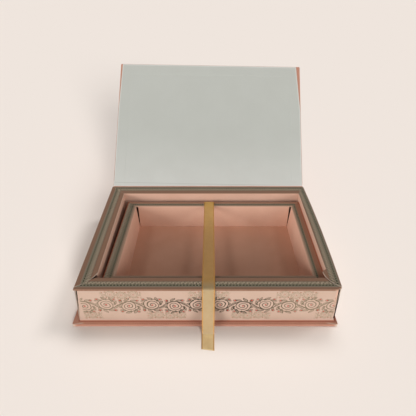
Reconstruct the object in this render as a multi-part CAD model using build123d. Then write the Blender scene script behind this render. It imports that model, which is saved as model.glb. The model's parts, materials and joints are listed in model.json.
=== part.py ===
from build123d import *
import os
from math import hypot, atan2, degrees, radians, tan

# A presentation box for invitations, standing open: a wrapped base board, a tray of folded card with hollow
# walls, a smaller tray of the same make set into it, a lifting ribbon, and a lid on a paper hinge.
# Millimetres. +X is right, +Y is back towards the hinge, +Z is up. The origin is the middle of the base's
# underside, on the table. Everything above the base is drawn about the tray's own middle, at TRAY_X.

# Paper and board
CARD = 0.9
PAPER = 0.3
TOUCH = 0.15

# Base: grey board in a textured wrap, with a lining over the turned-in margins' window
BASE_W = 280.0
BASE_D = 194.0
BASE_BOARD = 2.4
BASE_TURN_IN = 15.0
BASE_CORNER = 1.2

# Tray: rim to rim, its height over the base, the rim bands and how far each wall's foot stands out
TRAY_X = 3.0
TRAY_W = 266.0
TRAY_D = 184.6
TRAY_H = 49.3
RIM_LEFT = 19.0
RIM_RIGHT = 9.8
RIM_FRONT = 16.3
RIM_BACK = 17.1
LEAN_LEFT = 3.4
LEAN_RIGHT = 1.0
LEAN_FRONT = -0.4
LEAN_BACK = 0.6
FOLD_R = 0.8

# The folded walls aren't quite straight: the right rim bows out, and the front rim's right end is drawn in
BOW_RIGHT = 1.8
DRAWN_IN = 2.8
DRAWN_RUN = 8.0

# Corners: the open wedge beside each front and back panel, the left band's notch and the right band's flap
CORNER_OPEN = 4.0
CORNER_REACH = 4.0
CORNER_CUT = 4.0
SEAM = 0.4
NOTCH = 6.8
NOTCH_BULGE = 3.0
CURL_TIP = 4.2
CURL_TIP_LONG = 3.6
CURL_REACH = 8.0
CURL_BULGE = 3.6
CURL_GAP = 1.6
PLAN_SPARE = 2.0

# Inner tray: its height, the depth of its hollow, its rim bands, the gaps around it, and how far the rim of
# its left wall splays at the front
INSERT_H = 40.1
INSERT_DEPTH = 34.3
INSERT_BAND = 10.0
INSERT_BAND_SIDE = 12.0
SPLAY_OUT = 3.0
SPLAY_IN = 2.4
INSERT_DRAFT = 1.5
INSERT_FOLD_R = 0.6
GAP_LEFT = 6.5
GAP_RIGHT = 0.3
GAP_FRONT = 0.3
GAP_BACK = 8.2
SLIT_TOP = 2.6
SLIT_FOOT = 0.4
PAD_CLEAR = 0.3

# Ribbon: satin, half an inch wide, from behind the inner tray over the front rim to the table
RIBBON_W = 13.0
RIBBON_T = 0.4
RIBBON_LIFT = 0.2
RIBBON_TURN = 1.2
RIBBON_FALL = 14.6
RIBBON_TAIL = 17.8
RIBBON_HIDDEN = 34.0
RIBBON_BACK_X = 1.8
PATCH_W = 20.0
PATCH_H = 16.0

# Lid: grey board, wrap and lining, and the paper hinge along the tray's top back edge
LID_W = 263.5
LID_L = 182.0
LID_BOARD = 2.0
LID_LINER = 0.25
LID_GAP = 0.8
LID_OPEN = 44.1
LID_ASKEW = 1.1
LID_TURN_IN = 15.0
LID_CORNER = 1.0
LINER_MARGIN = 0.5
LINER_STRAIGHT = 112.0
LINER_MARGIN_TOP_LEFT = 2.7
LINER_MARGIN_TOP_RIGHT = 5.4
LINER_MARGIN_END = 0.4
HINGE_GAP = 4.5
HINGE_CLEAR = 0.3
RUN_ON_START = 1.2

BASE_TOP = BASE_BOARD + 2 * PAPER
RIM_Z = BASE_TOP + TRAY_H
FLOOR_Z = BASE_TOP + CARD
INSERT_Z = FLOOR_Z + INSERT_H
INSERT_FLOOR_Z = INSERT_Z - INSERT_DEPTH
LID_T = LID_LINER + PAPER + LID_BOARD + PAPER

# Plan lines of the tray's rim and of the well inside it
OUT_L = -TRAY_W / 2
OUT_R = TRAY_W / 2
OUT_F = -TRAY_D / 2
OUT_B = TRAY_D / 2
WELL_L = OUT_L + RIM_LEFT
WELL_R = OUT_R - RIM_RIGHT
WELL_F = OUT_F + RIM_FRONT
WELL_B = OUT_B - RIM_BACK

# Plan lines of the inner tray's rim and of its hollow
INS_L = WELL_L + GAP_LEFT
INS_R = WELL_R - GAP_RIGHT
INS_F = WELL_F + GAP_FRONT
INS_B = WELL_B - GAP_BACK
HOL_L = INS_L + INSERT_BAND_SIDE
HOL_R = INS_R - INSERT_BAND_SIDE
HOL_F = INS_F + INSERT_BAND
HOL_B = INS_B - INSERT_BAND

HINGE_Y = OUT_B + PAPER + HINGE_CLEAR
HINGE_Z = RIM_Z + LID_GAP

PLACE = Pos(TRAY_X, 0, 0)
LID_PLACE = PLACE * Pos(0, HINGE_Y, HINGE_Z) * Rot(LID_OPEN, 0, 0)
ASKEW = Rot(0, 0, -LID_ASKEW)


def slab(x0, x1, y0, y1, z0, z1):
    """A plain board between two corners."""
    middle = Pos((x0 + x1) / 2, (y0 + y1) / 2, (z0 + z1) / 2)
    return middle * Box(x1 - x0, y1 - y0, z1 - z0)


def plan_prism(points, z0, z1):
    """The upright prism over an outline in plan."""
    outline = make_face(Polyline(*points, close=True))
    return Pos(0, 0, z0) * extrude(outline, amount=z1 - z0)


def side_prism(points, half_width):
    """A prism along X over an outline of (y, z) points, as wide each way from the middle."""
    outline = Plane.YZ * make_face(Polyline(*points, close=True))
    return extrude(outline, amount=half_width, both=True)


def straight(length):
    """Stations of a straight wall: places along it, each with how far its outer and inner folds bulge."""
    return [(-length / 2, 0, 0), (length / 2, 0, 0)]


def channel(stations, band, top, foot_z, inner_foot_z, outer_lean, inner_lean, fold_r):
    """A hollow wall of folded card: outer panel, rim band, inner panel. The rim's outer edge is on y = 0."""
    sections = []
    for x, outer_out, inner_out in stations:
        outline = Polyline(
            (-outer_lean, foot_z),
            (-outer_out, top),
            (band - inner_out, top),
            (band + inner_lean, inner_foot_z),
            (band + inner_lean - CARD, inner_foot_z),
            (band - inner_out - CARD, top - CARD),
            (CARD - outer_out, top - CARD),
            (CARD - outer_lean, foot_z),
            close=True,
        )
        face = make_face(outline)
        folds = [v for v in face.vertices() if v.Y > top - CARD / 2]
        sections.append(Plane.YZ.offset(x) * fillet(folds, fold_r))
    return loft(sections, ruled=True)


def turned(wall, side, left, right, front, back):
    """Puts a wall that was drawn as a front wall on its side of the frame."""
    places = {
        "front": Pos((left + right) / 2, front, 0),
        "back": Pos((left + right) / 2, back, 0) * Rot(0, 0, 180),
        "left": Pos(left, (front + back) / 2, 0) * Rot(0, 0, -90),
        "right": Pos(right, (front + back) / 2, 0) * Rot(0, 0, 90),
    }
    return places[side] * wall


def base_board():
    return slab(
        PAPER - BASE_W / 2, BASE_W / 2 - PAPER,
        PAPER - BASE_D / 2, BASE_D / 2 - PAPER,
        PAPER, PAPER + BASE_BOARD,
    )


def base_wrap():
    """Wrap over the top and edges of the base board, turned in underneath round a window."""
    skin = slab(-BASE_W / 2, BASE_W / 2, -BASE_D / 2, BASE_D / 2, 0, BASE_TOP)
    skin = fillet(skin.edges().filter_by(Axis.Z), BASE_CORNER)
    window = slab(
        BASE_TURN_IN - BASE_W / 2, BASE_W / 2 - BASE_TURN_IN,
        BASE_TURN_IN - BASE_D / 2, BASE_D / 2 - BASE_TURN_IN,
        -1, PAPER,
    )
    return skin - base_board() - window


def base_lining():
    """The sheet that fills the window between the wrap's turned-in margins."""
    inset = BASE_TURN_IN + TOUCH
    return slab(inset - BASE_W / 2, BASE_W / 2 - inset, inset - BASE_D / 2, BASE_D / 2 - inset, 0, PAPER)


def tray_floor():
    """The tray's floor card, out to the feet of the outer panels."""
    floor = slab(
        OUT_L - LEAN_LEFT, OUT_R + LEAN_RIGHT,
        OUT_F - LEAN_FRONT, OUT_B + LEAN_BACK,
        BASE_TOP, FLOOR_Z,
    )
    return PLACE * floor


def tray_stations(side):
    """Stations of one of the tray's walls, a little longer than the wall, before its ends are cut."""
    spare = LEAN_LEFT + LEAN_RIGHT + PLAN_SPARE
    if side == "front":
        bend = OUT_R - DRAWN_RUN
        half_way = (bend + DRAWN_RUN / 2, -DRAWN_IN / 3, 0)
        ends = [(OUT_R, -DRAWN_IN, 0), (OUT_R + spare, -DRAWN_IN, 0)]
        return [(OUT_L - spare, 0, 0), (bend, 0, 0), half_way, *ends]
    if side == "right":
        shares = (0, 0.25, 0.5, 0.75, 1)
        bow = [(OUT_F + share * TRAY_D, 4 * BOW_RIGHT * share * (1 - share), 0) for share in shares]
        return [(OUT_F - spare, 0, 0), *bow, (OUT_B + spare, 0, 0)]
    return straight((TRAY_W if side == "back" else TRAY_D) + 2 * spare)


def tray_channel(side):
    """One of the tray's four hollow walls at full length, before its ends are cut."""
    sizes = {
        "front": (RIM_FRONT, LEAN_FRONT),
        "back": (RIM_BACK, LEAN_BACK),
        "left": (RIM_LEFT, LEAN_LEFT),
        "right": (RIM_RIGHT, LEAN_RIGHT),
    }
    band, lean = sizes[side]
    wall = channel(tray_stations(side), band, RIM_Z, FLOOR_Z, FLOOR_Z, lean, 0, FOLD_R)
    return turned(wall, side, OUT_L, OUT_R, OUT_F, OUT_B)


def foot(corner):
    """Where two leaning outer panels meet at the foot of a corner, in plan."""
    x = OUT_L - LEAN_LEFT if "L" in corner else OUT_R + LEAN_RIGHT
    y = OUT_F - LEAN_FRONT if "F" in corner else OUT_B + LEAN_BACK
    return (x, y)


def bulged(start, end, bulge):
    """The arc from start to end that swells to the right of its chord by a bulge, in plan."""
    run = (end[0] - start[0], end[1] - start[1])
    span = hypot(*run)
    middle = (
        (start[0] + end[0]) / 2 + run[1] / span * bulge,
        (start[1] + end[1]) / 2 - run[0] / span * bulge,
    )
    return ThreePointArc(start, middle, end)


def corner_wedge(foot_x, rim_x, y):
    """The gap that opens upward between a front or back outer panel and the side panel beside it."""
    inward = 1 if rim_x < 0 else -1
    beyond = foot_x - inward * CORNER_OPEN
    under_band = RIM_Z - CARD - TOUCH
    outline = [
        (beyond, BASE_TOP),
        (foot_x + inward * (SEAM + TOUCH), BASE_TOP),
        (rim_x + inward * CORNER_OPEN, under_band),
        (rim_x + inward * TOUCH, under_band),
        (rim_x + inward * TOUCH, RIM_Z + 1),
        (beyond, RIM_Z + 1),
    ]
    face = Plane.XZ * make_face(Polyline(*outline, close=True))
    return Pos(0, y, 0) * extrude(face, amount=CORNER_REACH, both=True)


def tray_front_wall():
    """Front wall: mitred at the left from behind the corner, and at the right cut to the flap, a gap away."""
    front_line = OUT_F - PLAN_SPARE
    plan = [
        (foot("LF")[0], front_line),
        (foot("LF")[0], OUT_F + CORNER_CUT),
        (OUT_L, OUT_F + CORNER_CUT),
        (WELL_L + TOUCH, WELL_F),
        (WELL_R + TOUCH, WELL_F),
        (OUT_R, OUT_F + CORNER_CUT),
        (foot("RF")[0], OUT_F + CORNER_CUT),
        (foot("RF")[0], front_line),
    ]
    wall = tray_channel("front") & plan_prism(plan, 0, RIM_Z + 1)
    wall -= Pos(-CURL_GAP, 0, 0) * right_wall_plan()
    wall -= Pos(SEAM, -SEAM, 0) * left_wall_plan()
    wall -= corner_wedge(OUT_L - LEAN_LEFT, OUT_L, OUT_F)
    wall -= corner_wedge(OUT_R + LEAN_RIGHT, OUT_R, OUT_F)
    return PLACE * wall


def tray_back_wall():
    """Back wall, mitred at both ends."""
    plan = [
        foot("LB"),
        (OUT_L + TOUCH, OUT_B),
        (WELL_L + TOUCH, WELL_B),
        (WELL_R - TOUCH, WELL_B),
        (OUT_R - TOUCH, OUT_B),
        foot("RB"),
    ]
    wall = tray_channel("back") & plan_prism(plan, 0, RIM_Z + 1)
    wall -= corner_wedge(OUT_L - LEAN_LEFT, OUT_L, OUT_B)
    wall -= corner_wedge(OUT_R + LEAN_RIGHT, OUT_R, OUT_B)
    return PLACE * wall


def left_wall_plan():
    """The upright prism over the left wall's outline in plan. Its front mitre curves away from a notch."""
    start = (OUT_L, OUT_F + CORNER_CUT)
    end = (WELL_L, WELL_F + NOTCH)
    rest = Polyline(
        end,
        (WELL_L, WELL_B),
        (OUT_L, OUT_B),
        foot("LB"),
        (foot("LF")[0], foot("LF")[1] + TOUCH),
        start,
    )
    return extrude(make_face(Curve() + [bulged(start, end, NOTCH_BULGE), rest]), amount=RIM_Z + 1)


def tray_left_wall():
    """Left wall, with the notch at the front end of its band."""
    return PLACE * (tray_channel("left") & left_wall_plan())


def right_wall_plan():
    """The upright prism over the right wall's outline in plan, with the flap that its band ends in."""
    rim_line = OUT_R + 2 * TOUCH
    start = (rim_line, OUT_F + CORNER_CUT)
    tip = (WELL_R - CURL_TIP, WELL_F + CURL_REACH)
    side_line = OUT_R + LEAN_RIGHT + PLAN_SPARE
    rest = Polyline(
        tip,
        (WELL_R, tip[1] + CURL_TIP_LONG),
        (WELL_R, WELL_B),
        (rim_line, OUT_B),
        foot("RB"),
        (side_line, foot("RB")[1]),
        (side_line, foot("RF")[1] + TOUCH),
        (foot("RF")[0], foot("RF")[1] + TOUCH),
        start,
    )
    return extrude(make_face(Curve() + [bulged(tip, start, CURL_BULGE), rest]), amount=RIM_Z + 1)


def tray_right_wall():
    """Right wall: its band ends in a curved flap that reaches over the corner of the inner tray."""
    flap_end = WELL_F + CURL_REACH + CURL_TIP_LONG
    flap = slab(WELL_R - CURL_TIP, WELL_R + 2 * CARD, OUT_F, flap_end, RIM_Z - CARD, RIM_Z)
    return PLACE * ((tray_channel("right") + flap) & right_wall_plan())


def insert_pad():
    """The board under the inner tray's floor, which sets the depth of the hollow."""
    inset = CARD + PAD_CLEAR
    pad = slab(INS_L + inset, INS_R - inset, INS_F + inset, INS_B - inset, FLOOR_Z, INSERT_FLOOR_Z - CARD)
    return PLACE * pad


def insert_floor():
    """The card on the pad: the floor that shows inside the hollow, under the feet of the inner panels."""
    inset = CARD + PAD_CLEAR
    under_floor = INSERT_FLOOR_Z - CARD
    floor = slab(INS_L + inset, INS_R - inset, INS_F + inset, INS_B - inset, under_floor, INSERT_FLOOR_Z)
    return PLACE * floor


def insert_stations(side):
    """Stations of one of the inner tray's walls. The left wall's rim splays towards its front end."""
    if side == "left":
        half = (INS_B - INS_F) / 2
        return [(-half, 0, 0), (half, SPLAY_OUT, SPLAY_IN)]
    if side == "right":
        return straight(INS_B - INS_F)
    return straight(INS_R - INS_L + 2 * SPLAY_OUT)


def insert_wall(side):
    """One of the inner tray's four hollow walls. The front and back ones leave slits at their ends."""
    across = side in ("front", "back")
    draft = 0 if across else INSERT_DRAFT
    band = INSERT_BAND if across else INSERT_BAND_SIDE
    wall = channel(insert_stations(side), band, INSERT_Z, FLOOR_Z, INSERT_FLOOR_Z, 0, draft, INSERT_FOLD_R)
    wall = turned(wall, side, INS_L, INS_R, INS_F, INS_B)
    front_out, front_in = INS_L - SPLAY_OUT, HOL_L - SPLAY_IN
    if across:
        outer_y, hollow_y, outer_x, hollow_x = {
            "front": (INS_F, HOL_F, front_out, front_in),
            "back": (INS_B, HOL_B, INS_L, HOL_L),
        }[side]
        plan = [
            (outer_x + TOUCH, outer_y),
            (hollow_x + TOUCH, hollow_y),
            (HOL_R - TOUCH, hollow_y),
            (INS_R - TOUCH, outer_y),
        ]
        wall &= plan_prism(plan, 0, INSERT_Z + 1)
        for end_x, way in ((hollow_x, 1), (HOL_R, -1)):
            wall -= slit(end_x, hollow_y, way)
        return PLACE * wall
    outlines = {
        "left": [
            (front_out, INS_F),
            (front_in, HOL_F),
            (HOL_L + INSERT_DRAFT, HOL_F),
            (HOL_L + INSERT_DRAFT, HOL_B),
            (HOL_L, HOL_B),
            (INS_L, INS_B),
            (front_out, INS_B),
        ],
        "right": [
            (INS_R, INS_F),
            (HOL_R, HOL_F),
            (HOL_R - INSERT_DRAFT, HOL_F),
            (HOL_R - INSERT_DRAFT, HOL_B),
            (HOL_R, HOL_B),
            (INS_R, INS_B),
        ],
    }
    return PLACE * (wall & plan_prism(outlines[side], 0, INSERT_Z + 1))


def slit(x, y, way):
    """The narrow wedge, open at the top, between an inner panel and its neighbour."""
    under_band = INSERT_Z - CARD
    outline = [
        (x - way * CARD, FLOOR_Z),
        (x + way * (INSERT_DRAFT + SLIT_FOOT), FLOOR_Z),
        (x + way * SLIT_TOP, under_band),
        (x - way * CARD, under_band),
    ]
    face = Plane.XZ * make_face(Polyline(*outline, close=True))
    return Pos(0, y, 0) * extrude(face, amount=2 * CARD, both=True)


def ribbon_route():
    """The ribbon's underside seen from its edge, from its hidden end behind the inner tray to its tail."""
    back_y = INS_B + RIBBON_LIFT
    rim_top = RIM_Z + RIBBON_LIFT
    front_y = OUT_F - RIBBON_LIFT
    return [
        (back_y, INSERT_Z - RIBBON_HIDDEN),
        (back_y, INSERT_Z + RIBBON_LIFT),
        (WELL_F, rim_top),
        (front_y, rim_top),
        (front_y - RIBBON_FALL, RIBBON_LIFT),
        (front_y - RIBBON_FALL - RIBBON_TAIL, RIBBON_LIFT),
    ]


def ribbon():
    """Satin ribbon as one thin strip, turned a little so that its back end lies to the right of its tail."""
    route = ribbon_route()
    line = FilletPolyline(*[(y, z) for y, z in route], radius=RIBBON_TURN)
    strip = trace_strip(line)
    slant = degrees(atan2(RIBBON_BACK_X, route[0][0] - route[-1][0]))
    return PLACE * Pos(0, route[-1][0], 0) * Rot(0, 0, -slant) * Pos(0, -route[-1][0], 0) * strip


def trace_strip(line):
    """Thickens a line in the plane of (y, z) to the ribbon's thickness, on its upper side, and widens it."""
    upper = line.offset_2d(RIBBON_T, side=Side.RIGHT, closed=False)
    lower_start = line @ 0
    lower_end = line @ 1
    upper_start = upper @ 0
    upper_end = upper @ 1
    if (upper_start - lower_start).length > (upper_end - lower_start).length:
        upper_start, upper_end = upper_end, upper_start
    ends = [Line(lower_start, upper_start), Line(lower_end, upper_end)]
    face = make_face(Curve() + [line, upper] + ends)
    return extrude(Plane.YZ * face, amount=RIBBON_W / 2, both=True)


def ribbon_patch():
    """Paper patch that holds the ribbon's hidden end to the back of the inner tray."""
    back_y = INS_B + RIBBON_LIFT + RIBBON_T + TOUCH
    low = INSERT_Z - RIBBON_HIDDEN - PATCH_H / 4
    patch = slab(-PATCH_W / 2, PATCH_W / 2, back_y, back_y + PAPER, low, low + PATCH_H)
    return PLACE * Pos(RIBBON_BACK_X, 0, 0) * patch


def hinge_strip():
    """Wrap paper glued over the outside of the back wall, up to the fold line of the hinge."""
    half = LID_W / 2
    shape = side_prism(
        [
            (OUT_B + LEAN_BACK, FLOOR_Z),
            (OUT_B, RIM_Z),
            (OUT_B, HINGE_Z - HINGE_CLEAR),
            (OUT_B + PAPER, HINGE_Z - HINGE_CLEAR),
            (OUT_B + PAPER, RIM_Z),
            (OUT_B + LEAN_BACK + PAPER, FLOOR_Z),
        ],
        half,
    )
    return PLACE * shape


def lid_core():
    """The lid's board, lying flat with the lined side up and the hinge line on the X axis."""
    return slab(
        PAPER - LID_W / 2, LID_W / 2 - PAPER,
        HINGE_GAP + PAPER, LID_L - PAPER,
        PAPER - LID_T, -LID_LINER - PAPER,
    )


def lid_window(clearance, low, high):
    """The area inside the wrap's turned-in margins, between two heights."""
    inset = LID_TURN_IN + clearance
    return slab(inset - LID_W / 2, LID_W / 2 - inset, HINGE_GAP + inset, LID_L - inset, low, high)


def lid_board():
    return LID_PLACE * ASKEW * lid_core()


def run_on():
    """The paper between the fold line and the lid's near edge, which lies askew to that line."""
    sections = []
    for x in (-LID_W / 2, LID_W / 2):
        gap = HINGE_GAP - x * tan(radians(LID_ASKEW))
        reach = hypot(gap, LID_T)
        step = (gap / reach, -LID_T / reach)
        near = (step[0] * RUN_ON_START, step[1] * RUN_ON_START)
        up = (-step[1] * PAPER, step[0] * PAPER)
        outline = Polyline(
            near,
            (gap, -LID_T),
            (gap + PAPER, -LID_T),
            (gap + PAPER, -LID_T + PAPER),
            (gap + up[0] / 2, -LID_T + up[1]),
            (near[0] + up[0], near[1] + up[1]),
            close=True,
        )
        sections.append(Plane.YZ.offset(x) * make_face(outline))
    return loft(sections, ruled=True)


def lid_wrap():
    """Wrap round the outside and edges of the lid, turned in under the lining, with its run-on."""
    skin = slab(-LID_W / 2, LID_W / 2, HINGE_GAP, LID_L, -LID_T, -LID_LINER)
    free_corners = [e for e in skin.edges().filter_by(Axis.Z) if e.center().Y > LID_L / 2]
    skin = fillet(free_corners, LID_CORNER)
    skin = skin - lid_core() - lid_window(0, -LID_LINER - PAPER, 0)
    return LID_PLACE * (ASKEW * skin + run_on())


def lid_liner():
    """Lining sheet, as askew as the lid: from the fold line to its free edges, where it narrows."""
    half = LID_W / 2
    top = LID_L - LINER_MARGIN_END
    sheet = plan_prism(
        [
            (LINER_MARGIN - half, -HINGE_GAP),
            (half - LINER_MARGIN, -HINGE_GAP),
            (half - LINER_MARGIN, LINER_STRAIGHT),
            (half - LINER_MARGIN_TOP_RIGHT, top),
            (LINER_MARGIN_TOP_LEFT - half, top),
            (LINER_MARGIN - half, LINER_STRAIGHT),
        ],
        -LID_LINER,
        0,
    )
    beyond_fold = slab(-LID_W, LID_W, -LID_L, HINGE_CLEAR, -LID_LINER, 0)
    plate = lid_window(TOUCH, -LID_LINER - PAPER, -LID_LINER)
    return LID_PLACE * (ASKEW * sheet - beyond_fold + ASKEW * plate)


def insert_wall_maker(side):
    return lambda: insert_wall(side)


PARTS = {
    "base_board": base_board,
    "base_wrap": base_wrap,
    "base_lining": base_lining,
    "tray_floor": tray_floor,
    "tray_front_wall": tray_front_wall,
    "tray_back_wall": tray_back_wall,
    "tray_left_wall": tray_left_wall,
    "tray_right_wall": tray_right_wall,
    "insert_pad": insert_pad,
    "insert_floor": insert_floor,
    "ribbon": ribbon,
    "ribbon_patch": ribbon_patch,
    "hinge_strip": hinge_strip,
    "lid_board": lid_board,
    "lid_wrap": lid_wrap,
    "lid_liner": lid_liner,
}
for wall_side in ("front", "back", "left", "right"):
    PARTS[f"insert_{wall_side}_wall"] = insert_wall_maker(wall_side)

os.makedirs("parts", exist_ok=True)
for name, make in PARTS.items():
    solid = make()
    export_step(solid, f"parts/{name}.step")
    print(f"{name:20s} {solid.volume:12.1f} mm3")
print(f"hinge line at y {HINGE_Y:.2f}, z {HINGE_Z:.2f}, lid opened {LID_OPEN} degrees above level")
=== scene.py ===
# %% [markdown]
# # A presentation box for invitations
#
# The box stands open on a pale table: a wrapped base, a tray with hollow folded walls, a smaller tray
# inside it, a satin ribbon and a lid on a paper hinge. Its solids come ready made from the frame, at
# their real size, so this lesson is about the finishes: printed borders, laid card, embossed wrap, lining
# paper and satin.

import json
import math

import bpy
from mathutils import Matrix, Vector


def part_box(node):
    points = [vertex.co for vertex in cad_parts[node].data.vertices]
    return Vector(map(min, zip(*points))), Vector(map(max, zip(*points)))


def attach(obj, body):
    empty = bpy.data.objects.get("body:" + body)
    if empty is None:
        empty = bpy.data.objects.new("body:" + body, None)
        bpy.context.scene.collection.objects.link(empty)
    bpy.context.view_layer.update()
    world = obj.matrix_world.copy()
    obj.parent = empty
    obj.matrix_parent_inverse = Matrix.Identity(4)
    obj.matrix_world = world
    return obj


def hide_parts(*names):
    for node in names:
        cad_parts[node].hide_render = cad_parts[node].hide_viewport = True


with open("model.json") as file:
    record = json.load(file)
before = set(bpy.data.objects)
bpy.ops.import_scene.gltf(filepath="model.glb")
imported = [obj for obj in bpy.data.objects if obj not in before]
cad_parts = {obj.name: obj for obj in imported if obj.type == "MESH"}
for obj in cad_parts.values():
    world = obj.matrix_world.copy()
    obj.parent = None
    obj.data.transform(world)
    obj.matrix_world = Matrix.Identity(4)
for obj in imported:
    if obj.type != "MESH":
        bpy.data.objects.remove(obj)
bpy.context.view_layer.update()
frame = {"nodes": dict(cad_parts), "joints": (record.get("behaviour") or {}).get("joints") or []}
nodes = frame["nodes"]
print("pieces in the frame:", len(nodes))

# %% [markdown]
# ## Camera
#
# The view is fitted once, from the corners of the base, the rims and the lid. The camera looks straight
# along the box's depth and down at it, with no turn and no roll, so one pitch angle is all that it needs.

# %% Set up the camera
MM = 0.001
PHOTO_PIXELS = 416
FOCAL_PIXELS = 358.23
SENSOR_WIDTH = 36
NEAREST_SEEN = 0.01
CAMERA_PLACE = (3.06, -326.4, 326.92)
CAMERA_DOWN = math.radians(36.68)

lens = bpy.data.cameras.new("view")
lens.sensor_width = SENSOR_WIDTH
lens.lens = SENSOR_WIDTH * FOCAL_PIXELS / PHOTO_PIXELS
lens.clip_start = NEAREST_SEEN
camera = bpy.data.objects.new("view", lens)
camera.location = Vector(CAMERA_PLACE) * MM
camera.rotation_euler = (math.pi / 2 - CAMERA_DOWN, 0, 0)
bpy.context.scene.collection.objects.link(camera)
bpy.context.scene.camera = camera
bpy.context.scene.view_settings.view_transform = "Standard"
print(f"lens {lens.lens:.1f} mm")

# %% [markdown]
# ## Shader maths as Python
#
# A printed border is mostly arithmetic on places: how far from the fold, how far along the wall. It could
# be wired up by hand, node by node, but wires that understand Python's signs let that arithmetic be read
# as a formula. Every sign adds one Math node, and every other kind of node comes from the one method of a
# finish.

# %% A finish and its one method
def find_socket(sockets, key):
    """A node's socket by its place in the row, its name or its identifier."""
    if isinstance(key, int):
        return sockets[key]
    return next(s for s in sockets if key in (s.identifier, s.name) and s.enabled)


class Finish:
    """The nodes of one material or world, all made by one method."""

    def __init__(self, owner):
        owner.use_nodes = True
        self.owner = owner
        self.tree = owner.node_tree
        self.tree.nodes.clear()

    def node(self, kind, settings, inputs, output=0):
        """A node of a kind, with its settings made first and then the values or links of its sockets."""
        made = self.tree.nodes.new("ShaderNode" + kind)
        for name, setting in settings.items():
            setattr(made, name, setting)
        for key, value in inputs.items():
            socket = find_socket(made.inputs, key)
            if isinstance(value, Wire):
                self.tree.links.new(value.socket, socket)
            else:
                socket.default_value = value
        if output is not None:
            return Wire(self, find_socket(made.outputs, output))


print("one method makes every kind of node")

# %% A wire
class Wire:
    """An output of a node. A sign between wires and numbers adds a Math node."""

    def __init__(self, finish, socket):
        self.finish = finish
        self.socket = socket

    def math(self, operation, *values):
        return self.finish.node("Math", {"operation": operation}, dict(enumerate(values)))

    def __add__(self, other):
        return self.math("ADD", self, other)

    def __sub__(self, other):
        return self.math("SUBTRACT", self, other)

    def __rsub__(self, other):
        return self.math("SUBTRACT", other, self)

    def __mul__(self, other):
        return self.math("MULTIPLY", self, other)

    def __truediv__(self, other):
        return self.math("DIVIDE", self, other)

    def __rtruediv__(self, other):
        return self.math("DIVIDE", other, self)

    def __abs__(self):
        return self.math("ABSOLUTE", self)

    __radd__ = __add__
    __rmul__ = __mul__

    def sine(self):
        return self.math("SINE", self)

    def cosine(self):
        return self.math("COSINE", self)

    def root(self):
        return self.math("SQRT", self)

    def floor(self):
        return self.math("FLOOR", self)

    def part(self):
        """What is left after the whole number."""
        return self.math("FRACT", self)

    def least(self, other):
        return self.math("MINIMUM", self, other)

    def most(self, other):
        return self.math("MAXIMUM", self, other)

    def turn(self, other):
        """The angle of the point (other, self), in radians."""
        return self.math("ARCTAN2", self, other)

    def rise(self, low, high):
        """0 below low, 1 above high, and a soft step between them."""
        ends = {"Value": self, "From Min": low, "From Max": high}
        return self.finish.node("MapRange", {"interpolation_type": "SMOOTHSTEP"}, ends)

    def band(self, low, high, soft=0.08):
        """1 between low and high, with soft sides."""
        return self.rise(low - soft, low + soft) * (1 - self.rise(high - soft, high + soft))

    def line(self, width, soft=0.1):
        """1 where the value is within half a width of 0: a drawn line, if the value is a distance."""
        return 1 - abs(self).rise(width / 2 - soft, width / 2 + soft)


print("a wire takes + - * / and abs")

# %% [markdown]
# Colours are written as they look on the print, from 0 to 255, and turned into light here. A colour mix,
# a fine paper grain and the place on the box in millimetres are wanted in most finishes, so they come
# next.

# %% Colours, places and grain
FULL_LEVEL = 255
PAPER_GLOSS = 0.25


def ink(red, green, blue):
    """A display colour from 0 to 255 as linear light. The curve is straight at first, then a power."""
    def light(level):
        share = level / FULL_LEVEL
        return share / 12.92 if share <= 0.04045 else ((share + 0.055) / 1.055) ** 2.4
    return (light(red), light(green), light(blue), 1)


def mix(finish, share, first, second):
    """The second colour over the first, by a share from 0 to 1."""
    inputs = {"Factor_Float": share, "A_Color": first, "B_Color": second}
    return finish.node("Mix", {"data_type": "RGBA"}, inputs, "Result_Color")


def place(finish):
    """The place on the box as a vector, in millimetres."""
    spot = finish.node("TexCoord", {}, {}, "Object")
    return finish.node("VectorMath", {"operation": "SCALE"}, {0: spot, "Scale": 1 / MM})


def parts(vector):
    """The x, y and z of a vector."""
    return [vector.finish.node("SeparateXYZ", {}, {0: vector}, axis) for axis in range(3)]


def facing(finish):
    """How far the surface faces x, y and z, in the piece's own frame."""
    return parts(finish.node("TexCoord", {}, {}, "Normal"))


def grain(finish, spot, size, detail):
    """Noise from 0 to 1 whose spots are about size millimetres wide."""
    return finish.node("TexNoise", {}, {"Vector": spot, "Scale": 1 / size, "Detail": detail})


def cover(finish, colour, roughness, height, depth, **constants):
    """Closes a finish: its colour, its roughness and the relief of its surface, depth in millimetres."""
    relief = finish.node("Bump", {}, {"Height": height, "Distance": depth * MM})
    sockets = {"Base Color": colour, "Roughness": roughness, "Normal": relief}
    sockets.update({"Specular IOR Level": PAPER_GLOSS}, **constants)
    surface = finish.node("BsdfPrincipled", {}, sockets)
    finish.node("OutputMaterial", {}, {"Surface": surface}, None)
    return finish.owner


def dress(names, material):
    """Gives CAD pieces a finish of their own."""
    for name in names:
        nodes[name].data.materials.clear()
        nodes[name].data.materials.append(material)
    print(f"{material.name}: {', '.join(names)}")


print("middle grey in light:", round(ink(128, 128, 128)[0], 3))

# %% [markdown]
# ## Table and light
#
# A plain table in the colour of the backdrop, under an even sky and soft suns. Suns light a plane evenly,
# so the table keeps one colour up to the horizon. Lamps would do as well, but a lamp near the box would
# leave a bright pool on the table.
#
# The box has a low and a high sun to each side. The low ones light its walls, and in the high ones the
# ribbon throws a soft band to each side on the floor of the inner tray. The table has suns of its own,
# from behind and from the right, which lay the box's soft shadow in front of it and to its left; the lid
# throws none in the light from the right, where it would reach too far. Two more, from the front, lay the
# lid's shadow beside it, and light the ribbon too, whose satin is brighter than the card. Light linking
# keeps the groups apart.

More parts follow.
